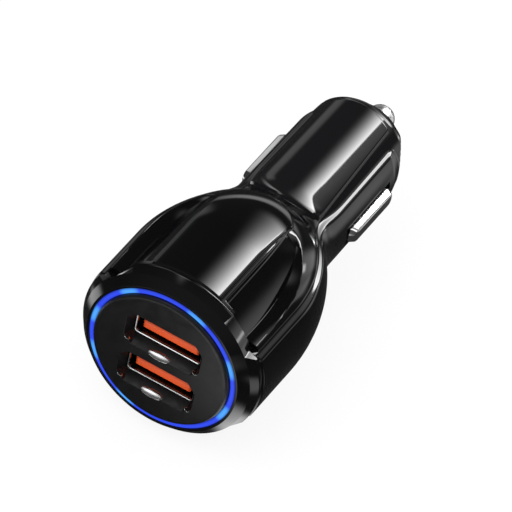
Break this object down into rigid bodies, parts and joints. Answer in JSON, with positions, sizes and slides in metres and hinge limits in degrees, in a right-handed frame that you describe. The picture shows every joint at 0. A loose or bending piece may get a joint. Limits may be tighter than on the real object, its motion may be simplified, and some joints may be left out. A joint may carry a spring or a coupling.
{
  "type": "car usb charger plug",
  "caption": "Car USB charger plug: bell-shaped gloss head with stacked USB-A ports inside a glowing ring, on a slim barrel with sprung side contacts and a sprung centre pin.",
  "frame": {"origin": "on the plug's axis, in the middle of the barrel's root land, where the mouth of a 12 V socket guides the plug", "axes": "+Y along the axis towards the centre pin, +Z out through the top panel of the head, +X to the right as seen from the face with the ports"},
  "size_m": [0.0354, 0.0777, 0.0354],
  "materials": {
    "gloss_black": "polished",
    "face_satin": "satin",
    "blue_light": "translucent, lit from behind",
    "tin_plate": "bright tin plate",
    "orange_insulator": "moulded",
    "gold_contact": "gold flash",
    "nickel_plate": "polished nickel plate",
    "cap_black": "polished",
    "circuit_board": "solder mask",
    "led_lens": "clear resin",
    "chip_black": "moulded resin",
    "ferrite": "sintered",
    "copper_wire": "enamelled wire",
    "can_sleeve": "shrink sleeve",
    "fuse_body": "ceramic",
    "spring_steel": "bright wire",
    "seat_brass": "turned"
  },
  "bodies": {
    "plug": {"upper_shell": "gloss_black", "lower_shell": "gloss_black", "front_bezel": "gloss_black", "face_plate": "face_satin", "light_ring": "blue_light", "usb_shell_upper": "tin_plate", "usb_shell_lower": "tin_plate", "usb_tongue_upper": "orange_insulator", "usb_tongue_lower": "orange_insulator", "usb_pins_upper": "gold_contact", "usb_pins_lower": "gold_contact", "nose_cap": "cap_black", "led_board": "circuit_board", "blue_leds": "led_lens", "port_board": "circuit_board", "main_board": "circuit_board", "board_link": "chip_black", "inductor_core": "ferrite", "inductor_winding": "copper_wire", "input_capacitor": "can_sleeve", "output_capacitor": "can_sleeve", "converter_chip": "chip_black", "charge_chips": "chip_black", "diode": "chip_black", "fuse": "fuse_body", "pin_spring": "spring_steel", "spring_seat": "seat_brass", "left_leaf_spring": "spring_steel", "right_leaf_spring": "spring_steel"},
    "pin": {"centre_pin": "nickel_plate"},
    "left_side_contact": {"left_contact": "nickel_plate"},
    "right_side_contact": {"right_contact": "nickel_plate"}
  },
  "joints": [
    {"name": "pin_slide", "type": "slide", "parent": "plug", "child": "pin", "axis": [0, -1, 0], "range_m": [0, 0.003], "stiffness_N_per_m": 1700, "springref_m": -0.003, "deforming": ["pin_spring"]},
    {"name": "left_contact_slide", "type": "slide", "parent": "plug", "child": "left_side_contact", "axis": [1, 0, 0], "range_m": [0, 0.0014], "stiffness_N_per_m": 1500, "springref_m": -0.002, "deforming": ["left_leaf_spring"]},
    {"name": "right_contact_slide", "type": "slide", "parent": "plug", "child": "right_side_contact", "axis": [-1, 0, 0], "range_m": [0, 0.0014], "stiffness_N_per_m": 1500, "springref_m": -0.002, "deforming": ["right_leaf_spring"]}
  ]
}
